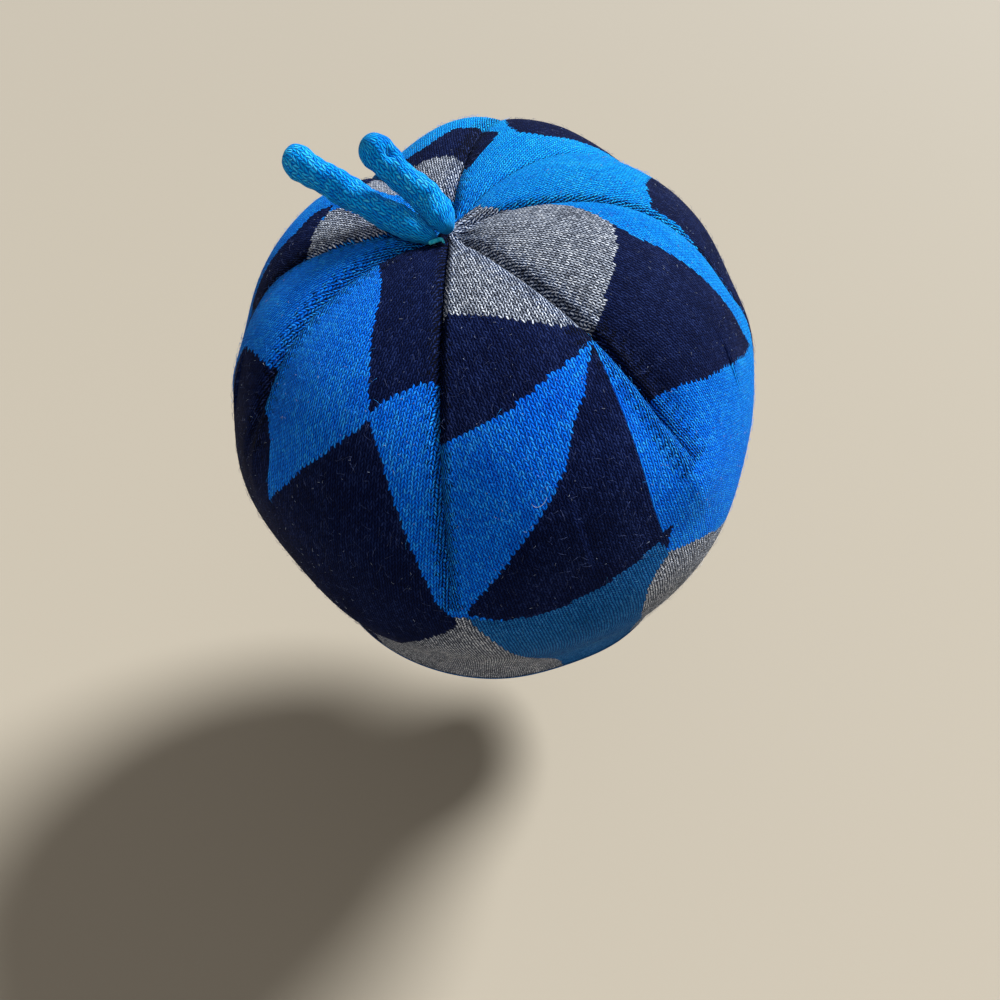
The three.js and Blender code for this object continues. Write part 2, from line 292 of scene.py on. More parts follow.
class Graph:
    """Short names for adding shader nodes to one material."""

    def __init__(self, name):
        self.material = bpy.data.materials.new(name)
        self.material.use_nodes = True
        self.tree = self.material.node_tree
        self.tree.nodes.clear()

    def node(self, kind, inputs=None, **settings):
        made = self.tree.nodes.new(kind)
        for key, value in settings.items():
            setattr(made, key, value)
        for key, value in (inputs or {}).items():
            self.put(made.inputs[key], value)
        return made

    def put(self, socket, value):
        if isinstance(value, bpy.types.NodeSocket):
            self.tree.links.new(value, socket)
        else:
            socket.default_value = value

    def math(self, operation, a, b=0.0, c=0.0):
        made = self.node("ShaderNodeMath", operation=operation)
        for socket, value in zip(made.inputs, (a, b, c)):
            self.put(socket, value)
        return made.outputs[0]

    def noise(self, vector, scale, detail):
        made = self.node("ShaderNodeTexNoise", {"Vector": vector, "Scale": scale, "Detail": detail})
        return made.outputs["Fac"]

    def spread(self, value, amount):
        """A noise value turned into plus or minus half of amount."""
        return self.math("MULTIPLY", self.math("SUBTRACT", value, 0.5), amount)

    def ramp(self, value, places, colours):
        made = self.node("ShaderNodeValToRGB", {"Fac": value})
        elements = made.color_ramp.elements
        while len(elements) < len(places):
            elements.new(0.5)
        for element, place, colour in zip(elements, places, colours):
            element.position = place
            element.color = (*colour, 1)
        return made.outputs["Color"]

    def smooth_step(self, value, low, high):
        made = self.node("ShaderNodeMapRange", interpolation_type="SMOOTHSTEP")
        self.put(made.inputs["Value"], value)
        self.put(made.inputs["From Min"], low)
        self.put(made.inputs["From Max"], high)
        return made.outputs["Result"]

    def mix(self, share, a, b, blend="MIX"):
        made = self.node("ShaderNodeMix", data_type="RGBA", blend_type=blend)
        self.put(made.inputs["Factor"], share)
        self.put(made.inputs["A"], a if isinstance(a, bpy.types.NodeSocket) else (*a, 1))
        self.put(made.inputs["B"], b if isinstance(b, bpy.types.NodeSocket) else (*b, 1))
        return made.outputs["Result"]

    def finish(self, **sockets):
        """The one shader of the material, its sockets named with _ for a space."""
        inputs = {name.replace("_", " "): value for name, value in sockets.items()}
        shader = self.node("ShaderNodeBsdfPrincipled", inputs)
        self.node("ShaderNodeOutputMaterial", {"Surface": shader.outputs["BSDF"]})
        return self.material


ROW_SHEAR = 0.45  # how many courses a row's edge climbs across half a wale
LEG_LEAN = 0.36  # how far a leg leans away from the wale's middle, in half wales
LEG_HALF_WIDTH = 0.4  # in half wales
OPEN_HALF_WIDTH = 0.33  # the same for the stretched stitches beside a dart
LEG_END_SHARPNESS = 3.0

# Noise scales are in cells to the metre, or to the unit of the streaks.
ROUGH, FINE = 2.0, 3.0  # noise detail
WAVER_SCALE, WAVER = 700.0, 0.6  # rows waver up and down, in courses
SWAY_SCALE, SWAY = 380.0, 0.5  # wales sway sideways, in wales
STREAKS_ACROSS, STREAKS_ALONG, STREAKS_APART = 2.2, 1.4, 40.0
FUZZ_SCALE, PATCH_SCALE, LOOSE_SCALE = 1700.0, 60.0, 900.0
TONE_OF_STREAKS, TONE_OF_PATCHES = 0.5, 0.35
FUZZ_IN_GROOVE_SHADE, FUZZ_IN_RELIEF, STREAKS_IN_RELIEF = 0.5, 0.4, 0.25
RELIEF = 0.5

TONE_PLACES = 0.15, 0.5, 0.85  # of the dark, middle and light shade
GROOVE_SHADE_PLACES = 0.05, 0.55, 0.95  # of the painted groove shade, from between the legs to the top of a leg
WHITE = (1.0, 1.0, 1.0)
# Painted groove shade: the colour is multiplied by these, from between the legs to a leg's top.
SOFT_GROOVE_SHADE = (0.05, 0.12, 0.3), (0.4, 0.52, 0.78), WHITE
DEEP_GROOVE_SHADE = (0.005, 0.008, 0.02), (0.15, 0.17, 0.22), WHITE
CORD_GROOVE_SHADE = (0.12, 0.24, 0.48), (0.55, 0.66, 0.86), WHITE
OPEN_GROOVE_SHADE = (0.002, 0.01, 0.04), (0.08, 0.16, 0.34), WHITE
# Painted light: the blue is painted paler towards the window lamp, between these distances along this way.
PAINTED_LIGHT_WAY = (0.45, 0.5, 0.74)
PAINTED_LIGHT_FROM, PAINTED_LIGHT_TO = 45.0, 160.0


def painted_light_share(g, where):
    """Painted light: 0 low at the left of the nape, rising to 1 high at the right of the brow, the lamp's
    side, where the blue is painted paler.
    """
    reach = g.node("ShaderNodeVectorMath", {0: where, 1: PAINTED_LIGHT_WAY}, operation="DOT_PRODUCT")
    return g.smooth_step(reach.outputs["Value"], PAINTED_LIGHT_FROM * MM, PAINTED_LIGHT_TO * MM)


def yarn_material(
        name, shades, groove_shade, uneven, lit_shades=None, half_width=LEG_HALF_WIDTH, sheen=0.3,
        shine=0.03):
    """Stockinette in one yarn: two leaning legs in each stitch, each its own shade, painted shade between
    them.
    """
    g = Graph(name)
    where = g.node("ShaderNodeUVMap", uv_map="stitches").outputs["UV"]
    parts = g.node("ShaderNodeSeparateXYZ", {"Vector": where})
    u, v = parts.outputs["X"], parts.outputs["Y"]
    solid = g.node("ShaderNodeTexCoord").outputs["Object"]
    waver = g.noise(solid, WAVER_SCALE, ROUGH)
    sway = g.noise(solid, SWAY_SCALE, ROUGH)
    u = g.math("ADD", u, g.spread(sway, SWAY))
    # Across runs from 0 at a wale's middle to 1 at its sides, and along counts the courses.
    from_middle = g.math("ABSOLUTE", g.math("SUBTRACT", g.math("FRACT", u), 0.5))
    across = g.math("MULTIPLY", from_middle, 2.0)
    along = g.math("ADD", g.math("MULTIPLY_ADD", across, -ROW_SHEAR, v), g.spread(waver, WAVER))
    leg = g.node("ShaderNodeCombineXYZ", {
        "X": g.math("FLOOR", g.math("MULTIPLY", u, 2.0)),
        "Y": g.math("FLOOR", along),
    }).outputs["Vector"]
    own = g.node("ShaderNodeTexWhiteNoise", {"Vector": leg}, noise_dimensions="3D").outputs["Value"]
    step = g.math("FRACT", along)
    middle = g.math("MULTIPLY_ADD", step, LEG_LEAN, 0.5 - LEG_LEAN / 2)
    aside = g.math("DIVIDE", g.math("SUBTRACT", across, middle), half_width)
    breadth = g.math("MAXIMUM", g.math("SUBTRACT", 1.0, g.math("MULTIPLY", aside, aside)), 0.0)
    from_end = g.math("ABSOLUTE", g.math("MULTIPLY_ADD", step, 2.0, -1.0))
    ends = g.math("POWER", from_end, LEG_END_SHARPNESS)
    height = g.math("SQRT", g.math("MULTIPLY", breadth, g.math("SUBTRACT", 1.0, ends)))
    # Fine streaks follow the leg, and loose fuzz lies over everything.
    streaks = g.node("ShaderNodeCombineXYZ", {
        "X": g.math("MULTIPLY", aside, STREAKS_ACROSS),
        "Y": g.math("MULTIPLY", along, STREAKS_ALONG),
        "Z": g.math("MULTIPLY", own, STREAKS_APART),
    }).outputs["Vector"]
    streak = g.noise(streaks, 1.0, FINE)
    fuzz = g.noise(solid, FUZZ_SCALE, FINE)
    patchy = g.noise(solid, PATCH_SCALE, FINE)
    tone = g.math("MULTIPLY_ADD", g.math("SUBTRACT", own, 0.5), uneven, 0.5)
    tone = g.math("ADD", tone, g.spread(streak, TONE_OF_STREAKS))
    tone = g.math("ADD", tone, g.spread(patchy, TONE_OF_PATCHES))
    colour = g.ramp(tone, TONE_PLACES, shades)
    # Painted light: on the side the window lamp lights, the blue turns paler and more cyan.
    if lit_shades:
        lit_colour = g.ramp(tone, TONE_PLACES, lit_shades)
        colour = g.mix(painted_light_share(g, solid), colour, lit_colour)
    # Painted shade: the colour darkens from a leg's top down into the grooves between the legs.
    groove_shade_at = g.math("ADD", height, g.spread(fuzz, FUZZ_IN_GROOVE_SHADE))
    colour = g.mix(1.0, colour, g.ramp(groove_shade_at, GROOVE_SHADE_PLACES, groove_shade), "MULTIPLY")
    raised = g.math("ADD", height, g.spread(fuzz, FUZZ_IN_RELIEF))
    raised = g.math("ADD", raised, g.spread(streak, STREAKS_IN_RELIEF))
    bump = g.node("ShaderNodeBump", {"Strength": 1.0, "Distance": RELIEF * MM, "Height": raised})
    return g.finish(
        Base_Color=colour,
        Roughness=0.8,
        Normal=bump.outputs["Normal"],
        Sheen_Weight=sheen,
        Sheen_Roughness=0.4,
        Sheen_Tint=(*shades[-1], 1),
        Specular_IOR_Level=shine,
    )


def fibre_material(name, dark, light):
    """A loose fibre, a little uneven along its length."""
    g = Graph(name)
    where = g.node("ShaderNodeTexCoord").outputs["Object"]
    colour = g.ramp(g.noise(where, LOOSE_SCALE, ROUGH), (0.3, 0.7), (dark, light))
    return g.finish(Base_Color=colour, Roughness=0.7, Specular_IOR_Level=0.1)


# The dark, middle and light shade of each yarn.
BLUE_SHADES = (0.0, 0.06, 0.5), (0.0, 0.2, 0.98), (0.04, 0.48, 1.0)
# The blue painted paler on the side the lamp lights.
LIT_BLUE_SHADES = (0.0, 0.16, 0.75), (0.0, 0.45, 1.0), (0.04, 0.68, 1.0)
NAVY_SHADES = (0.0003, 0.0015, 0.015), (0.0028, 0.0095, 0.054), (0.028, 0.048, 0.16)
MARL_SHADES = (0.1, 0.115, 0.155), (0.42, 0.465, 0.57), (0.87, 0.91, 1.0)
# Painted shade: a duller, darker blue for the dim light low at the nape and under the hem.
SHADED_BLUE_SHADES = (0.0, 0.05, 0.17), (0.012, 0.16, 0.44), (0.06, 0.32, 0.7)
CORD_SHADES = (0.0, 0.17, 0.75), (0.0, 0.42, 1.0), (0.08, 0.68, 1.0)

BLUE, NAVY, MARL, SHADED_BLUE, OPEN_SHADED_BLUE, OPEN_SHADED_NAVY, OPEN_SHADED_MARL, CORD = range(8)
# Stretched open stitches beside the darts, their grooves painted darker for the shade in the creases.
OPEN_SHADED = {BLUE: OPEN_SHADED_BLUE, NAVY: OPEN_SHADED_NAVY, MARL: OPEN_SHADED_MARL}
YARNS = [  # in the order of the numbers above
    yarn_material("wool_blue", BLUE_SHADES, SOFT_GROOVE_SHADE, uneven=0.3, lit_shades=LIT_BLUE_SHADES),
    yarn_material("wool_navy", NAVY_SHADES, SOFT_GROOVE_SHADE, uneven=0.22, sheen=0.04, shine=0.04),
    yarn_material("wool_marl", MARL_SHADES, DEEP_GROOVE_SHADE, uneven=0.5, sheen=0.05),
    yarn_material("wool_shaded_blue", SHADED_BLUE_SHADES, SOFT_GROOVE_SHADE, uneven=0.25, sheen=0.05),
    yarn_material(
        "wool_blue_open_shaded", BLUE_SHADES, OPEN_GROOVE_SHADE, uneven=0.4, lit_shades=LIT_BLUE_SHADES,
        half_width=OPEN_HALF_WIDTH),
    yarn_material(
        "wool_navy_open_shaded", NAVY_SHADES, OPEN_GROOVE_SHADE, uneven=0.4, half_width=OPEN_HALF_WIDTH,
        sheen=0.04, shine=0.04),
    yarn_material(
        "wool_marl_open_shaded", MARL_SHADES, OPEN_GROOVE_SHADE, uneven=0.6, half_width=OPEN_HALF_WIDTH,
        sheen=0.05),
    yarn_material("wool_cord", CORD_SHADES, CORD_GROOVE_SHADE, uneven=0.4),
]
FIBRES = [  # what the crown's yarns shed, in the same order
    fibre_material("fibre_blue", (0.0, 0.14, 0.7), (0.05, 0.4, 1.0)),
    fibre_material("fibre_navy", (0.005, 0.012, 0.06), (0.1, 0.13, 0.28)),
    fibre_material("fibre_marl", (0.2, 0.2, 0.24), (0.75, 0.75, 0.8)),
    fibre_material("fibre_shaded_blue", (0.005, 0.08, 0.25), (0.08, 0.3, 0.5)),
]
FIBRES += FIBRES[:len(OPEN_SHADED)]
LINT = fibre_material("fibre_lint", (0.12, 0.15, 0.24), (0.4, 0.46, 0.6))

# ---- The crown: one face for each half stitch -------------------------------------------

STRETCH_DOWN = 110.0  # how far down a gore's sideways stretch is taken
LEVELLING = 34.0  # rows become level rings over this stretch above a dart's end
LEVELLING_ROUNDS = 12
TINY = 1e-6


def gore_grid(left, right):
    """Azimuth and down of the corners of every half stitch of one gore, and their u and v.

    The last array is the length of the dart that each column belongs to.
    """
    left_down, right_down = left[3], right[3]

    def edges(down):
        start = dart_azimuth(left, down)
        width = (dart_azimuth(right, down) - start) % 360
        return start + width / 2, width / 2

    middle = math.radians(float(edges(STRETCH_DOWN)[0]))
    stretch = math.hypot(math.cos(middle), DEPTH_RATIO * math.sin(middle))

    def half_width(down):
        return profile(down)[0] * np.radians(edges(down)[1]) * stretch

    counts = []
    pitches = []
    for length in (left_down, right_down):
        wide = float(half_width(float(length)))
        counts.append(round(wide / WALE))
        pitches.append(wide / counts[-1])
    columns = np.arange(-2 * counts[0], 2 * counts[1] + 1) / 2
    on_left = columns < 0
    length = np.where(on_left, left_down, right_down).astype(float)
    plain_pitch = np.where(on_left, pitches[0], pitches[1])
    nominal = columns * plain_pitch
    at_end = np.where(on_left, half_width(float(left_down)), half_width(float(right_down)))

    def spread_columns(down):
        """Each corner's distance from the middle line, the gore's half width, and the scale."""
        wide = half_width(down)
        scale = np.where(down > length, wide / at_end, 1.0)
        u = np.clip(nominal * scale, -wide, wide)
        u[:, 0] = -wide[:, 0]
        u[:, -1] = wide[:, -1]
        return u, wide, scale

    rows = round(RIM_DOWN / COURSE)
    row = np.arange(rows + 1.0)[:, None] + np.zeros(len(columns))
    climbs = (columns % 1 == 0) & (row > 0) & (row < rows)
    down = row * RIM_DOWN / rows
    for _ in range(LEVELLING_ROUNDS):
        u, wide, _ = spread_columns(down)
        v = row + ROW_SHEAR * (climbs & (abs(u) < wide - 0.01))
        radius, _, _, run = profile(down)
        fade = 1 - smooth((down - length + LEVELLING) / LEVELLING)
        sagged = fade * run * u * u / (2 * np.maximum(radius, TINY) * stretch * stretch)
        down = np.clip(v * RIM_DOWN / rows + sagged, 0, RIM_DOWN)
    u, _, scale = spread_columns(down)
    centre, _ = edges(down)
    radius = np.maximum(profile(down)[0], TINY)
    azimuth = centre + np.degrees(u / (radius * stretch))
    return azimuth, down, u / (plain_pitch * scale), v, length


# The colour blocks of each gore, charted in stitches: the column from the gore's middle
# line and the row from the crown's top. A gore is blue where nothing else is charted, and a
# later block lies over an earlier one. Columns of 30 and 40 lie past a gore's sides, and row 176
# lies past the rim.
CHART = {
    "back": [
        (MARL, [(-30, 0), (30, 0), (30, 45), (13, 45), (10, 44), (7, 42), (3, 39), (0, 36), (-4, 32),
            (-7, 29), (-30, 28)]),
        (NAVY, [(-30, 28), (-7, 29), (-4, 32), (0, 36), (3, 39), (7, 42), (10, 44), (13, 45), (30, 46),
            (30, 48), (13, 49), (9, 51), (5, 52), (0, 54), (-5, 55), (-30, 55)]),
        (NAVY, [(13, 50), (13, 97), (15, 97), (12, 105), (12, 99), (5, 100), (0, 101), (-10, 102),
            (-16, 101), (-22, 96), (-20, 93), (-15, 87), (-10, 81), (-5, 76), (-2, 73), (2, 68), (5, 62),
            (9, 57), (11, 53)]),
        # Painted shade: the duller, darker blue where the nape is dim near the rim.
        (SHADED_BLUE, [(-22, 97), (-16, 101), (-10, 102), (0, 101), (5, 100), (12, 99), (13, 105), (9, 109),
            (7, 114), (6, 122), (6, 130), (9, 146), (16, 165), (20, 176), (-2, 176), (-5, 168), (-9, 160),
            (-13, 150), (-16, 140), (-18, 128), (-19, 118), (-20, 108)]),
        (MARL, [(-30, 97), (-22, 97), (-20, 108), (-19, 118), (-18, 128), (-16, 140), (-13, 150),
            (-9, 160), (-5, 168), (-2, 176), (-30, 176)]),
        (MARL, [(13, 105), (17, 109), (24, 117), (30, 117), (30, 176), (20, 176), (16, 165), (9, 146),
            (6, 130), (6, 122), (7, 114), (9, 109)]),
    ],
    "back_right": [
        (MARL, [(-30, 0), (30, 0), (30, 17), (9, 20), (9, 30), (8, 35), (6, 42), (0, 50), (-30, 50)]),
        (NAVY, [(-30, 47), (-15, 47), (-7, 46), (0, 45), (6, 42), (5, 48), (6, 55), (8, 68), (10, 78),
            (12, 86), (15, 97), (8, 92), (4, 88), (0, 85), (-3, 82), (-6, 80), (-10, 77), (-15, 72),
            (-20, 69), (-30, 67)]),
        (MARL, [(-30, 116), (-22, 117), (-14, 125), (-6, 137), (0, 151), (3, 176), (-30, 176)]),
        (NAVY, [(30, 88), (22, 91), (17, 102), (13, 117), (22, 133), (30, 136)]),
        (MARL, [(30, 137), (22, 137), (17, 150), (10, 176), (30, 176)]),
    ],
    "right": [
        (MARL, [(-20, 0), (2, 0), (2, 9), (0, 10), (-3, 13), (-5, 16), (-7, 20), (-20, 20)]),
        (NAVY, [(-13, 53), (-5, 55), (2, 62), (9, 78), (8, 90), (2, 108), (-8, 124), (-20, 135),
            (-30, 135), (-30, 90), (-20, 88), (-18, 75), (-16, 67), (-14, 60)]),
        (MARL, [(30, 96), (19, 97), (12, 112), (6, 134), (2, 176), (30, 176)]),
        (MARL, [(-30, 137), (-20, 137), (-16, 150), (-15, 176), (-30, 176)]),
    ],
    "front_right": [
        (NAVY, [(20, 17), (5, 18), (3, 20), (3, 30), (4, 36), (20, 37)]),
        (NAVY, [(0, 38), (4, 40), (9, 46), (14, 58), (18, 76), (10, 84), (3, 95), (-7, 82), (-12, 68),
            (-9, 54), (-5, 43)]),
        (MARL, [(-30, 96), (-18, 97), (-11, 112), (-5, 134), (-1, 176), (-30, 176)]),
        (NAVY, [(30, 144), (18, 142), (12, 131), (7, 148), (5, 176), (30, 176)]),
        (MARL, [(30, 100), (18, 100), (9, 112), (12, 128), (18, 140), (30, 142)]),
    ],
    "front": [
        (MARL, [(-4, 10), (4, 10), (14, 14), (30, 20), (30, 38), (-20, 26), (-20, 12)]),
        (NAVY, [(-20, 18), (-9, 20), (-5, 25), (-1, 27), (2, 28), (14, 33), (30, 36), (30, 44), (14, 40),
            (4, 36), (0, 35), (-3, 37), (-6, 39), (-10, 38), (-20, 37)]),
        (NAVY, [(-30, 70), (-20, 72), (-8, 84), (0, 97), (-7, 112), (-16, 122), (-26, 116), (-30, 98)]),
        (MARL, [(30, 60), (18, 62), (9, 76), (4, 92), (12, 108), (26, 121), (30, 121)]),
        (MARL, [(-30, 100), (-26, 101), (-19, 118), (-26, 141), (-30, 142)]),
        (NAVY, [(-30, 144), (-26, 143), (-22, 133), (-19, 148), (-19, 176), (-30, 176)]),
        (NAVY, [(2, 99), (10, 116), (16, 138), (20, 176), (-18, 176), (-13, 138), (-6, 116)]),
    ],
    "front_left": [
        (MARL, [(-6, 12), (-5, 22), (-7, 32), (-10, 36), (-16, 36), (-12, 20)]),
        (NAVY, [(-20, 30), (-12, 35), (-7, 33), (-4, 40), (-8, 52), (-16, 60), (-26, 62), (-30, 60)]),
        (MARL, [(5, 14), (7, 18), (9, 23), (11, 28), (16, 35), (14, 36), (8, 37), (3, 36), (2, 33),
            (3, 27)]),
        (NAVY, [(1, 36), (8, 37), (14, 36), (16, 35), (40, 35), (40, 64), (31, 66), (22, 63), (14, 54),
            (8, 45), (3, 42)]),
        (MARL, [(-40, 78), (-30, 80), (-16, 92), (-4, 110), (-16, 124), (-33, 118), (-40, 118)]),
        (NAVY, [(40, 98), (31, 100), (18, 92), (8, 108), (18, 126), (31, 128), (40, 128)]),
        (MARL, [(2, 104), (14, 124), (22, 150), (26, 176), (-22, 176), (-16, 148), (-8, 122)]),
    ],
    "left": [
        (NAVY, [(-30, 37), (-9, 38), (-10, 46), (-10, 60), (-12, 72), (-30, 74)]),
        (MARL, [(-12, 22), (-8, 28), (-7, 35), (-9, 38), (-12, 38)]),
        (NAVY, [(30, 53), (16, 54), (11, 55), (9, 56), (4, 58), (-1, 61), (-4, 72), (-9, 88), (-6, 104),
            (2, 120), (10, 134), (16, 142), (30, 144)]),
        (NAVY, [(-30, 98), (-17, 100), (-12, 112), (-17, 127), (-30, 128)]),
        (MARL, [(-7, 110), (2, 126), (10, 148), (13, 176), (-17, 176), (-17, 150), (-12, 128)]),
        (NAVY, [(17, 142), (10, 148), (13, 176), (30, 176), (30, 142)]),
    ],
    "back_left": [
        (NAVY, [(-8, 0), (30, 0), (30, 39), (17, 40), (13, 43), (9, 48), (7, 52), (5, 45), (2, 36),
            (0, 29), (-2, 24), (-5, 20), (-8, 16), (-20, 12)]),
        (NAVY, [(7, 53), (10, 58), (14, 70), (17, 80), (20, 91), (23, 98), (30, 99), (30, 176),
            (-40, 176), (-40, 61), (-20, 61), (-17, 63), (-15, 67), (-15, 82), (-12, 77), (-8, 71),
            (-5, 67), (0, 62), (5, 56)]),
        (MARL, [(30, 98), (23, 100), (16, 110), (11, 118), (7, 132), (3, 145), (-2, 156), (-5, 161),
            (-7, 176), (30, 176)]),
    ],
}


def inside(column, row, corners):
    """Which stitches have their middle inside a polygon of (column, row) corners."""
    hit = np.zeros(column.shape, bool)
    for (x0, y0), (x1, y1) in zip(corners, corners[1:] + corners[:1]):
        if y0 == y1:
            continue
        crosses = (y0 > row) != (y1 > row)
        hit ^= crosses & (column < (x1 - x0) * (row - y0) / (y1 - y0) + x0)
    return hit


GATHERS, GATHER_DEPTH, GATHER_MIDDLE, GATHER_REACH = 19, 0.55, 8.0, 6.0
GATHER_SHIFTS, GATHER_SHIFT = 3, 2.0  # the folds crowd and part, so many times round
LIP_CLEARANCE = 1.0  # a lip fades out this near to the seam itself
LIPS = [  # dart, how far beside it, height, width, middle of its length, reach
    ("back_right", -3.2, 1.5, 2.6, 100, 22),
    ("back_right", 4.5, -1.4, 4.0, 92, 24),
    ("back_left", 2.4, 1.3, 2.2, 75, 26),
    ("back_left", -2.6, -2.0, 2.6, 78, 26),
    ("back_left", 2.4, 1.1, 2.2, 42, 24),
    ("back_left", -2.4, -1.7, 2.4, 42, 24),
    ("left", 3.0, 0.8, 2.5, 70, 30),
    ("back", 2.4, 0.5, 1.8, 60, 50),
    ("back", -2.4, 0.5, 1.8, 60, 50),
]


def small_relief(azimuth, down):
    """Radial folds where the cloth is drawn together at the top, and lips beside the darts."""
    shifted = GATHER_SHIFT * np.sin(np.radians(azimuth * GATHER_SHIFTS))
    wave = np.cos(np.radians(azimuth * GATHERS) + shifted)
    inset = GATHER_DEPTH * wave * np.exp(-(((down - GATHER_MIDDLE) / GATHER_REACH) ** 2))
    radius = profile(down)[0]
    for name, beside, height, width, middle, reach in LIPS:
        dart = next(row for row in DARTS if row[0] == name)
        across = radius * np.radians(turn_between(azimuth, dart_azimuth(dart, down)))
        bump = np.exp(-(((across - beside) / width) ** 2) - ((down - middle) / reach) ** 2)
        inset = inset - height * bump * (1 - np.exp(-((across / LIP_CLEARANCE) ** 2)))
    return inset


OPEN_RAGGED, OPEN_PACE = 0.35, 2.1  # how uneven that edge is, and its radians to a row
OPEN_SHADED_STITCHES = {  # how many stitches beside each dart are stretched open, with painted crease shade in their grooves
    "back": 1.6, "back_right": 3.0, "right": 1.2, "front_right": 0.0,
    "front": 2.4, "front_left": 2.4, "left": 2.4, "back_left": 3.2,
}
U_START, U_STEP = 50, 100  # every gore has its own stretch of u, clear of zero
CROWN_HALVES = {
    "crown_knit_nape": ["back_left", "back", "back_right", "right"],
    "crown_knit_brow": ["front_right", "front", "front_left", "left"],
}
KEEP_LAST = {"crown_knit_nape": False, "crown_knit_brow": True}  # of faces with the same corners


def gore_yarns(left, right, u, down, length):
    """The yarn of every half stitch of a gore: charted, and beside its darts stretched open with painted
    crease shade.
    """
    rows, columns = u.shape
    row, column = np.mgrid[0:rows - 1, 0:columns - 1]
    row = row + 0.5
    column = column / 2 + 0.25 + round(float(u[-1, 0]))
    yarn = np.full(row.shape, BLUE)
    for colour, corners in CHART[left[0]]:
        yarn[inside(column, row, corners)] = colour
    ragged = 1 + OPEN_RAGGED * np.sin(row * OPEN_PACE)
    near_left = column - u[:-1, :1] < OPEN_SHADED_STITCHES[left[0]] * ragged
    near_right = u[:-1, -1:] - column < OPEN_SHADED_STITCHES[right[0]] * ragged
    # Painted crease shade: these stitches beside a dart take the darker open yarns.
    beside_dart = (down[:-1, :-1] < length[:-1]) & (near_left | near_right)
    for plain_yarn, open_shaded_yarn in OPEN_SHADED.items():
        yarn[beside_dart & (yarn == plain_yarn)] = open_shaded_yarn
    return yarn


def build_crown(name, gores):
    """The cloth of some gores, with the edges inside their seams folded in."""
    points, faces, uvs, yarns = [], [], [], []
    count = 0
    for number, left in enumerate(DARTS):
        if left[0] not in gores:
            continue
        right = DARTS[(number + 1) % len(DARTS)]
        azimuth, down, u, v, length = gore_grid(left, right)
        rows, columns = azimuth.shape
        outer = crown_point(azimuth, down, small_relief(azimuth, down), SEAM_TUCK)
        points.append(outer.reshape(-1, 3))
        index = count + np.arange(rows * columns).reshape(rows, columns)
        count += rows * columns
        shift = U_START + U_STEP * number
        yarn = gore_yarns(left, right, u, down, length)
        faces.extend(grid_quads(index).reshape(-1, 4).tolist())
        uvs.extend(grid_quads(np.stack([u + shift, v], -1)).reshape(-1, 4, 2).tolist())
        yarns.extend(yarn.reshape(-1).tolist())
        for column, beside in ((0, 0), (columns - 1, columns - 2)):
            seam_end = length[column] + DART_OVERRUN
            used = int(np.searchsorted(down[:, column], seam_end))
            points.append(crown_point(
                azimuth[:used, column], down[:used, column], SEAM_ALLOWANCE, SEAM_TUCK))
            inner = count + np.arange(used)
            count += used
            edge = index[:used, column]
            for row in range(used - 1):
                face = [edge[row], edge[row + 1], inner[row + 1], inner[row]]
                if column == 0:
                    face.reverse()
                faces.append([int(i) for i in face])
                uvs.append([(shift, row), (shift, row + 1), (shift + 1, row + 1), (shift + 1, row)])
                yarns.append(int(yarn[row, beside]))
    return make_object(
        name, np.vstack(points), faces, uvs, YARNS, yarns, weld=0.001, keep_last=KEEP_LAST[name])


crown_halves = []
for half_name, half_gores in CROWN_HALVES.items():
    half = build_crown(half_name, half_gores)
    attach(half, "root")
    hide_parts("crown")
    crown_halves.append(half)

# ---- Loose fibres -----------------------------------------------------------------------


def face_facts(pieces):
    """Middle in mm, normal, area and yarn of every face of the pieces."""
    facts = []
    for piece in pieces:
        polygons = piece.data.polygons
        middle = np.empty(len(polygons) * 3)
        normal = np.empty(len(polygons) * 3)
        area = np.empty(len(polygons))
        yarn = np.empty(len(polygons), np.int32)
        polygons.foreach_get("center", middle)
        polygons.foreach_get("normal", normal)
        polygons.foreach_get("area", area)
        polygons.foreach_get("material_index", yarn)
        facts.append((middle.reshape(-1, 3) / MM, normal.reshape(-1, 3), area, yarn))
    return [np.concatenate(column) for column in zip(*facts)]


HAIR_POINTS, HAIR_SIDES = 4, 3
HAIR_FOOT = 0.05  # how far above the cloth a hair starts
HAIR_ARCH = 2.2  # radians of the arch in which it lifts
HAIR_BEND = 0.5


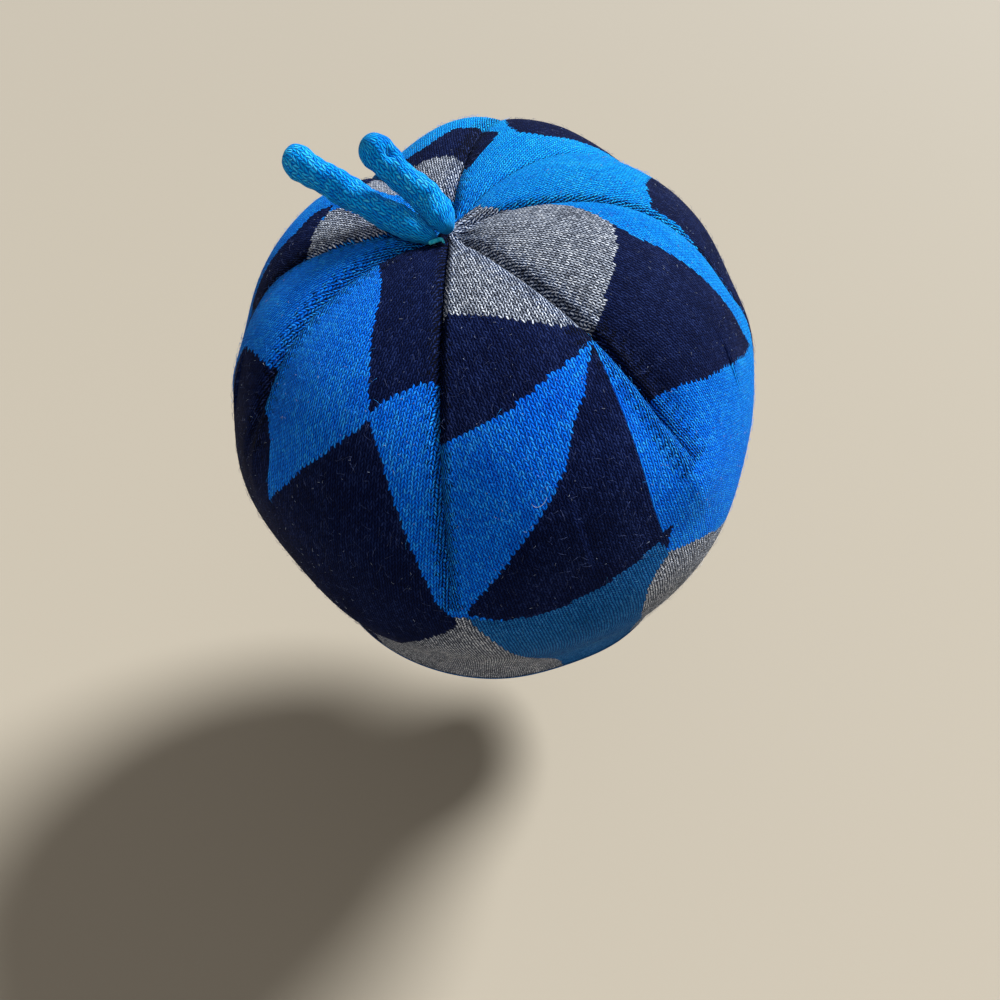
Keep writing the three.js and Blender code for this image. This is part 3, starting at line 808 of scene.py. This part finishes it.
def build_fibres(name, pieces, count, lengths, lifts, radius, materials, wanted=None):
    """Short curved hairs that start on random faces of the pieces, or on the wanted yarns only."""
    middle, normal, area, yarn = face_facts(pieces)
    weight = area if wanted is None else area * np.isin(yarn, wanted)
    host = rng.choice(len(area), count, p=weight / weight.sum())
    away = normal[host]
    along = np.cross(away, rng.normal(size=(count, 3)))
    along /= np.linalg.norm(along, axis=1)[:, None]
    aside = np.cross(away, along)
    length = rng.uniform(*lengths, count)
    lift = rng.uniform(*lifts, count)
    bend = rng.uniform(-HAIR_BEND, HAIR_BEND, count)
    points, sides = HAIR_POINTS, HAIR_SIDES
    rings = []
    for step in range(points):
        t = step / (points - 1)
        rise = HAIR_FOOT + lift * math.sin(HAIR_ARCH * t)
        centre = (middle[host] + away * rise[:, None] + along * (length * t)[:, None]
                  + aside * (length * bend * t * t)[:, None])
        for side in range(sides):
            angle = 2 * math.pi * side / sides
            rings.append(centre + radius * (away * math.cos(angle) + aside * math.sin(angle)))
    vertices = np.stack(rings, 1).reshape(-1, 3)
    pattern = [[2, 1, 0], [points * sides - 3, points * sides - 2, points * sides - 1]]
    for step in range(points - 1):
        for side in range(sides):
            a = step * sides + side
            b = step * sides + (side + 1) % sides
            pattern.append([a, b, b + sides, a + sides])
    faces = []
    shades = []
    for hair in range(count):
        start = hair * points * sides
        faces.extend([[start + i for i in face] for face in pattern])
        shades.extend([int(yarn[host[hair]]) if len(materials) > 1 else 0] * len(pattern))
    uvs = [[(0.0, 0.0)] * len(face) for face in faces]
    return make_object(name, vertices, faces, uvs, materials, shades)


fuzz = build_fibres(
    "crown_fuzz", crown_halves, count=5200, lengths=(1.2, 3.6), lifts=(0.2, 0.9), radius=0.04,
    materials=FIBRES)
lint = build_fibres(
    "crown_lint", crown_halves, count=1100, lengths=(0.3, 1.1), lifts=(0.1, 0.3), radius=0.06,
    materials=[LINT], wanted=[NAVY, BLUE])
for hairs in (fuzz, lint):
    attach(hairs, "root")

# ---- The inside of the crown ------------------------------------------------------------


INSIDE_ROWS, INSIDE_COLUMNS = 70, 160
INSIDE_START = 0.5
INSIDE_COURSES, INSIDE_WALES = 2.5, 2.2  # stitches to a row and to a column


def build_inside():
    """The plain inner face of the crown, one wall's thickness in."""
    rows, columns = INSIDE_ROWS, INSIDE_COLUMNS
    down = np.linspace(INSIDE_START, RIM_DOWN, rows)[:, None]
    azimuth = np.linspace(0, 360, columns, endpoint=False)[None, :]
    points = crown_point(azimuth, down, WALL).reshape(-1, 3)
    faces = [face[::-1] for face in grid_faces(rows, columns)]
    uvs = grid_uvs(rows, columns, lambda c: c * INSIDE_WALES, lambda r: r * INSIDE_COURSES)
    return make_object("crown_inside", points, faces, [uv[::-1] for uv in uvs], [YARNS[NAVY]])


inner_face = build_inside()
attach(inner_face, "root")

# ---- The turned hem ---------------------------------------------------------------------

HEM_ROLL, HEM_PROUD, HEM_DROP = 2.1, 0.35, 0.5
HEM_RISE = 0.6  # how far above the rim's plane the roll starts and ends
HEM_FLATNESS = 0.85
HEM_START = 1.0  # where the flat part begins, above the rim
HEM_EDGE_INSET, HEM_EDGE_RISE = 0.3, 0.8  # its upper edge turns out to the cloth
HEM_COLUMNS, ROLL_STEPS, HEM_STEPS = 360, 8, 12


def build_hem():
    """The edge of the cloth, rolled under the rim and laid flat against the inside."""
    azimuth = np.linspace(0, 360, HEM_COLUMNS, endpoint=False)
    section = []
    for step in range(ROLL_STEPS + 1):
        angle = math.pi * step / ROLL_STEPS
        inset = HEM_ROLL - (HEM_ROLL + HEM_PROUD) * math.cos(angle)
        rise = HEM_RISE - (HEM_ROLL * HEM_FLATNESS + HEM_DROP) * math.sin(angle)
        section.append((inset, rise, RIM_DOWN))
    for step in range(1, HEM_STEPS + 1):
        up = HEM_START + (HEM_HEIGHT - HEM_START) * step / HEM_STEPS
        section.append((2 * HEM_ROLL, 0.0, RIM_DOWN - up))
    section.append((WALL + HEM_EDGE_INSET, 0.0, RIM_DOWN - HEM_HEIGHT - HEM_EDGE_RISE))
    rings = []
    for inset, rise, down in section:
        ring = crown_point(azimuth, down, inset)
        ring[:, 2] += rise
        rings.append(ring)
    faces = grid_faces(len(rings), HEM_COLUMNS)
    uvs = grid_uvs(len(rings), HEM_COLUMNS, lambda c: c, lambda r: r)
    # Painted shade: the hem is the duller, darker blue of its shaded edge under the rim.
    return make_object("hem_fold", np.vstack(rings), faces, uvs, [YARNS[SHADED_BLUE]])


hem = build_hem()
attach(hem, "root")
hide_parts("hem_band")

# ---- The ear flaps ----------------------------------------------------------------------


FLAP_ROWS, FLAP_COLUMNS = 49, 49
FLAP_U_START = 40


def flap_half_width(depth):
    share = depth / FLAP_LENGTH
    tongue = (1 - share ** FLAP_ROUNDNESS) ** (1 / FLAP_ROUNDNESS)
    flare = FLAP_FLARE * np.exp(-((depth / FLAP_FLARE_DEPTH) ** 2))
    return FLAP_HALF_WIDTH * tongue + flare


def build_flap(name, side):
    """A tongue of cloth with round edges. Its side is 1 on the right and -1 on the left."""
    rim = crown_point(side * FLAP_AZIMUTH, RIM_DOWN)
    reach = math.hypot(rim[0], rim[1])
    rows, columns = FLAP_ROWS, FLAP_COLUMNS
    share = np.sin(np.linspace(0, 1, rows) * math.pi / 2)
    depth = (share * (FLAP_LENGTH - FLAP_TIP_GAP))[:, None]
    across = np.sin(np.linspace(-1, 1, columns) * math.pi / 2)[None, :]
    wide = flap_half_width(depth)
    azimuth = side * FLAP_AZIMUTH + across * np.degrees(wide / reach)
    from_side = wide * (1 - abs(across))
    from_tip = (FLAP_LENGTH - depth) * np.ones_like(across)
    from_edge = np.minimum(from_side, from_tip)
    half = WALL / 2 * np.sqrt(1 - np.clip(1 - from_edge / (WALL / 2), 0, 1) ** 2)
    shrink = 1 - FLAP_LEAN_IN * (depth / FLAP_LENGTH) ** FLAP_LEAN_POWER / reach
    z = FLAP_TOP - depth - FLAP_DROP * smooth(depth / FLAP_DROP_REACH) + 0 * across
    layers = []
    for way in (-1, 1):
        point = crown_point(azimuth, RIM_DOWN, WALL / 2 + way * half + FLAP_INSET)
        layer = np.stack([point[..., 0] * shrink, point[..., 1] * shrink, z], -1)
        layers.append(layer.reshape(-1, 3))
    faces = grid_faces(rows, columns, closed=False)
    v = (depth / COURSE) * np.ones_like(across)
    corners = np.stack([across * wide / WALE + FLAP_U_START, v], -1)
    uvs = grid_quads(corners).reshape(-1, 4, 2).tolist()
    back = [[i + rows * columns for i in face[::-1]] for face in faces]
    back_uvs = [uv[::-1] for uv in uvs]
    return make_object(
        name, np.vstack(layers), faces + back, uvs + back_uvs, [YARNS[NAVY]], weld=0.01)


for side_name, side in (("right", 1), ("left", -1)):
    flap = build_flap(f"flap_knit_{side_name}", side)
    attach(flap, "root")
    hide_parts(f"ear_flap_{side_name}")

# ---- The tails --------------------------------------------------------------------------


ROUTE_STEPS = 40  # between two corners, before they are spaced evenly


def smooth_route(corners, steps):
    """Points evenly spaced along a Catmull-Rom curve through the corners, and its length."""
    corners = np.asarray(corners, float)
    padded = np.vstack([2 * corners[0] - corners[1], corners, 2 * corners[-1] - corners[-2]])
    fine = []
    for a, b, c, d in zip(padded, padded[1:], padded[2:], padded[3:]):
        for t in np.linspace(0, 1, ROUTE_STEPS, endpoint=False):
            fine.append(0.5 * (
                2 * b + (c - a) * t + (2 * a - 5 * b + 4 * c - d) * t * t
                + (3 * b - a - 3 * c + d) * t ** 3))
    fine.append(corners[-1])
    fine = np.array(fine)
    travelled = np.append(0, np.cumsum(np.linalg.norm(np.diff(fine, axis=0), axis=1)))
    wanted = np.linspace(0, travelled[-1], steps)
    route = np.stack([np.interp(wanted, travelled, fine[:, axis]) for axis in range(3)], -1)
    return route, travelled[-1]


def directions(centres):
    """The way forward at each point of a route."""
    tangents = np.gradient(centres, axis=0)
    return tangents / np.linalg.norm(tangents, axis=1)[:, None]


def ring_points(centre, normal, binormal, sides, radius):
    """One ring of a tube."""
    angle = -np.linspace(0, 2 * math.pi, sides, endpoint=False)[:, None]
    return centre + np.cos(angle) * normal * radius + np.sin(angle) * binormal * radius


TAIL_STEPS, TAIL_SIDES = 150, 56
TAIL_WALE, TAIL_COURSE = 2.3, 2.1
TAIL_TWIST = 0.16  # wales that the knit turns in a course
TAIL_ROOTS = {"tail_long": (10.0, 0.6), "tail_short": (9.0, 0.55)}  # taper's length, share left
TAIL_STARTS = {"tail_long": [(330, 7.5, -3.2)], "tail_short": []}  # sunk in the crown's top
TAIL_WAVES = [(0.03, 3.1, 2.0), (0.025, 0.83, 1.0)]  # share of the radius, mm to a radian, phase
TAIL_LUMPS = [(0.04, 2, 4.0), (0.03, 3, -2.3)]  # share of the radius, how many, mm to a radian
HOLLOW_FROM_TIP, HOLLOW_DEPTH, HOLLOW_REACH = 6.5, 2.4, 1.8  # the short tail's open end
HOLLOW_SIDE = (0.75, -0.5, 0.1)
HOLLOW_CORE = 0.5  # what is nearer than this to the middle line moves less


def build_tail(name):
    """A knitted tube with rounded ends, a little lumpy."""
    root_radius, tip_radius, route = TAILS[name]
    corners = [crown_point(a, d, -lift - root_radius) for a, d, lift in TAIL_STARTS[name] + route]
    steps, sides = TAIL_STEPS, TAIL_SIDES
    centres, length = smooth_route(corners, steps)
    tangents = directions(centres)
    normal = np.cross(tangents[0], (0, 0, 1))
    taper, left = TAIL_ROOTS[name]
    hollow_at = round((1 - HOLLOW_FROM_TIP / length) * (steps - 1))
    hollow_way = np.array(HOLLOW_SIDE) / np.linalg.norm(HOLLOW_SIDE)
    hollow = centres[hollow_at] + hollow_way * tip_radius
    angle = -np.linspace(0, 2 * math.pi, sides, endpoint=False)
    rings = []
    for step in range(steps):
        normal = normal - tangents[step] * np.dot(normal, tangents[step])
        normal /= np.linalg.norm(normal)
        binormal = np.cross(tangents[step], normal)
        share = step / (steps - 1)
        travelled = share * length
        plain = root_radius + (tip_radius - root_radius) * share
        plain *= sum((part * math.sin(travelled / pace + phase) for part, pace, phase in TAIL_WAVES), 1)
        plain *= left + (1 - left) * float(smooth(travelled / taper))
        from_end = min(share, 1 - share) * length
        inside_end = min(max(1 - from_end / plain, 0), 1)
        lumps = sum((part * np.sin(many * angle + travelled / pace) for part, many, pace in TAIL_LUMPS), 1)
        radius = (plain * math.sqrt(1 - inside_end ** 2) * lumps)[:, None]
        ring = ring_points(centres[step], normal, binormal, sides, radius)
        if name == "tail_short":
            near = np.linalg.norm(ring - hollow, axis=1) / HOLLOW_REACH
            sunk = HOLLOW_DEPTH * np.exp(-near * near)[:, None]
            inward = centres[step] - ring
            ring += sunk * inward / np.maximum(np.linalg.norm(inward, axis=1), HOLLOW_CORE)[:, None]
        rings.append(ring)
    faces = grid_faces(steps, sides)
    wales = round(2 * math.pi * (root_radius + tip_radius) / 2 / TAIL_WALE)
    uvs = grid_uvs(
        steps, sides,
        lambda c: c * wales / sides,
        lambda r: r * length / (steps - 1) / TAIL_COURSE)
    turned = [[(u + TAIL_TWIST * v, v) for u, v in face] for face in uvs]
    return make_object(f"{name}_knit", np.vstack(rings), faces, turned, [YARNS[CORD]], weld=0.001)


for tail_name in TAILS:
    tail = build_tail(tail_name)
    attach(tail, "root")
    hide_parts(tail_name)

# ---- The stitch that holds the tails, and one loose thread ------------------------------


THREAD_SIDES = 8
THREAD_TAPER, THREAD_TIP = 3, 0.35  # steps to its full radius, and the share left at its ends
THREAD_ASIDE = (0.2, 0.3, 1.0)  # a direction that no thread runs in


def build_thread(name, centres, radius, material):
    steps, sides = len(centres), THREAD_SIDES
    tangents = directions(centres)
    normal = np.cross(tangents, THREAD_ASIDE)
    normal /= np.linalg.norm(normal, axis=1)[:, None]
    binormal = np.cross(tangents, normal)
    rings = []
    for step in range(steps):
        from_end = min(step, steps - 1 - step) / THREAD_TAPER
        size = radius * min(1.0, THREAD_TIP + (1 - THREAD_TIP) * from_end)
        rings.append(ring_points(centres[step], normal[step], binormal[step], sides, size))
    faces = grid_faces(steps, sides)
    uvs = grid_uvs(steps, sides, lambda c: c / 4, lambda r: r / 2)
    caps = [list(range(sides))[::-1], list(range((steps - 1) * sides, steps * sides))]
    cap_uvs = [[(0.0, 0.0)] * sides] * 2
    return make_object(name, np.vstack(rings), faces + caps, uvs + cap_uvs, [material])


def stitch_route():
    """One short bar over the top, with a slight bow."""
    turn = np.linspace(0, 1, 14)
    azimuth = 322 + 34 * turn
    down = 8.5 + 1.5 * np.sin(6 * turn)
    lift = 0.9 + 1.2 * np.sin(math.pi * turn)
    return crown_point(azimuth, down, -lift)


def loose_route():
    """An opening curl just above the cloth."""
    curl = np.linspace(0.2, 3.0, 22)
    azimuth = 16.0 + 1.5 * np.cos(curl)
    down = 98.5 + (1.1 + 0.5 * curl) * np.sin(curl)
    lift = 0.25 + 0.2 * np.sin(curl * 1.3)
    return crown_point(azimuth, down, -lift)


STITCH = fibre_material("fibre_stitch", (0.0, 0.3, 0.5), (0.08, 0.62, 0.75))
for small in (
        build_thread("tail_stitch", stitch_route(), 0.75, STITCH),
        build_thread("loose_thread", loose_route(), 0.08, LINT)):
    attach(small, "root")

# ---- Stage, light and camera ------------------------------------------------------------

FLOOR_Z, FLOOR_HALF = -0.145, 40.0
FLOOR_COLOUR = (0.33, 0.285, 0.225, 1)
STUDIO_COLOUR, STUDIO_STRENGTH = (0.86, 0.84, 0.8, 1), 0.34
CAMERA_PLACE = (0.0003, -0.2955, 0.2217)
CAMERA_DOWN = 34.84  # degrees below level
CAMERA_LENS, CAMERA_SENSOR = 27.04, 36.0


def build_stage():
    mesh = bpy.data.meshes.new("floor")
    corners = [(x * FLOOR_HALF, y * FLOOR_HALF, 0) for x, y in ((-1, -1), (1, -1), (1, 1), (-1, 1))]
    mesh.from_pydata(corners, [], [(0, 1, 2, 3)])
    floor = bpy.data.objects.new("floor", mesh)
    floor.location.z = FLOOR_Z
    bpy.context.scene.collection.objects.link(floor)
    mesh.materials.append(Graph("floor_pale").finish(Base_Color=FLOOR_COLOUR, Roughness=0.9))


def aim(lamp, place, target):
    lamp.location = place
    way = np.array(target) - np.array(place)
    yaw = math.atan2(way[1], way[0]) - math.pi / 2
    pitch = math.atan2(way[2], math.hypot(way[0], way[1])) + math.pi / 2
    lamp.rotation_euler = (pitch, 0, yaw)


def add_light(name, kind, place, target, power, colour):
    data = bpy.data.lights.new(name, kind)
    data.energy = power
    data.color = colour
    lamp = bpy.data.objects.new(name, data)
    aim(lamp, place, target)
    bpy.context.scene.collection.objects.link(lamp)
    return data


def build_lights():
    """Soft light that falls evenly from behind the crown, and a fill from the camera's side."""
    window = add_light(
        "window", "SUN", place=(0.62, 0.36, 0.85), target=(0, 0, 0), power=6.6,
        colour=(0.94, 0.98, 1.0))
    window.angle = math.radians(18.0)
    fill = add_light(
        "fill", "AREA", place=(0.1, -0.9, 0.7), target=(0, 0, 0.05), power=2.6,
        colour=(1.0, 0.98, 0.95))
    fill.size = 1.0


def build_world():
    world = bpy.data.worlds.new("studio")
    world.use_nodes = True
    background = world.node_tree.nodes["Background"]
    background.inputs["Color"].default_value = STUDIO_COLOUR
    background.inputs["Strength"].default_value = STUDIO_STRENGTH
    bpy.context.scene.world = world


def build_camera():
    data = bpy.data.cameras.new("camera")
    data.sensor_width = CAMERA_SENSOR
    data.lens = CAMERA_LENS
    camera = bpy.data.objects.new("camera", data)
    camera.location = CAMERA_PLACE
    camera.rotation_euler = (math.radians(90 - CAMERA_DOWN), 0, 0)
    bpy.context.scene.collection.objects.link(camera)
    bpy.context.scene.camera = camera


build_stage()
build_world()
build_camera()
build_lights()

bpy.context.scene.view_settings.view_transform = "Standard"
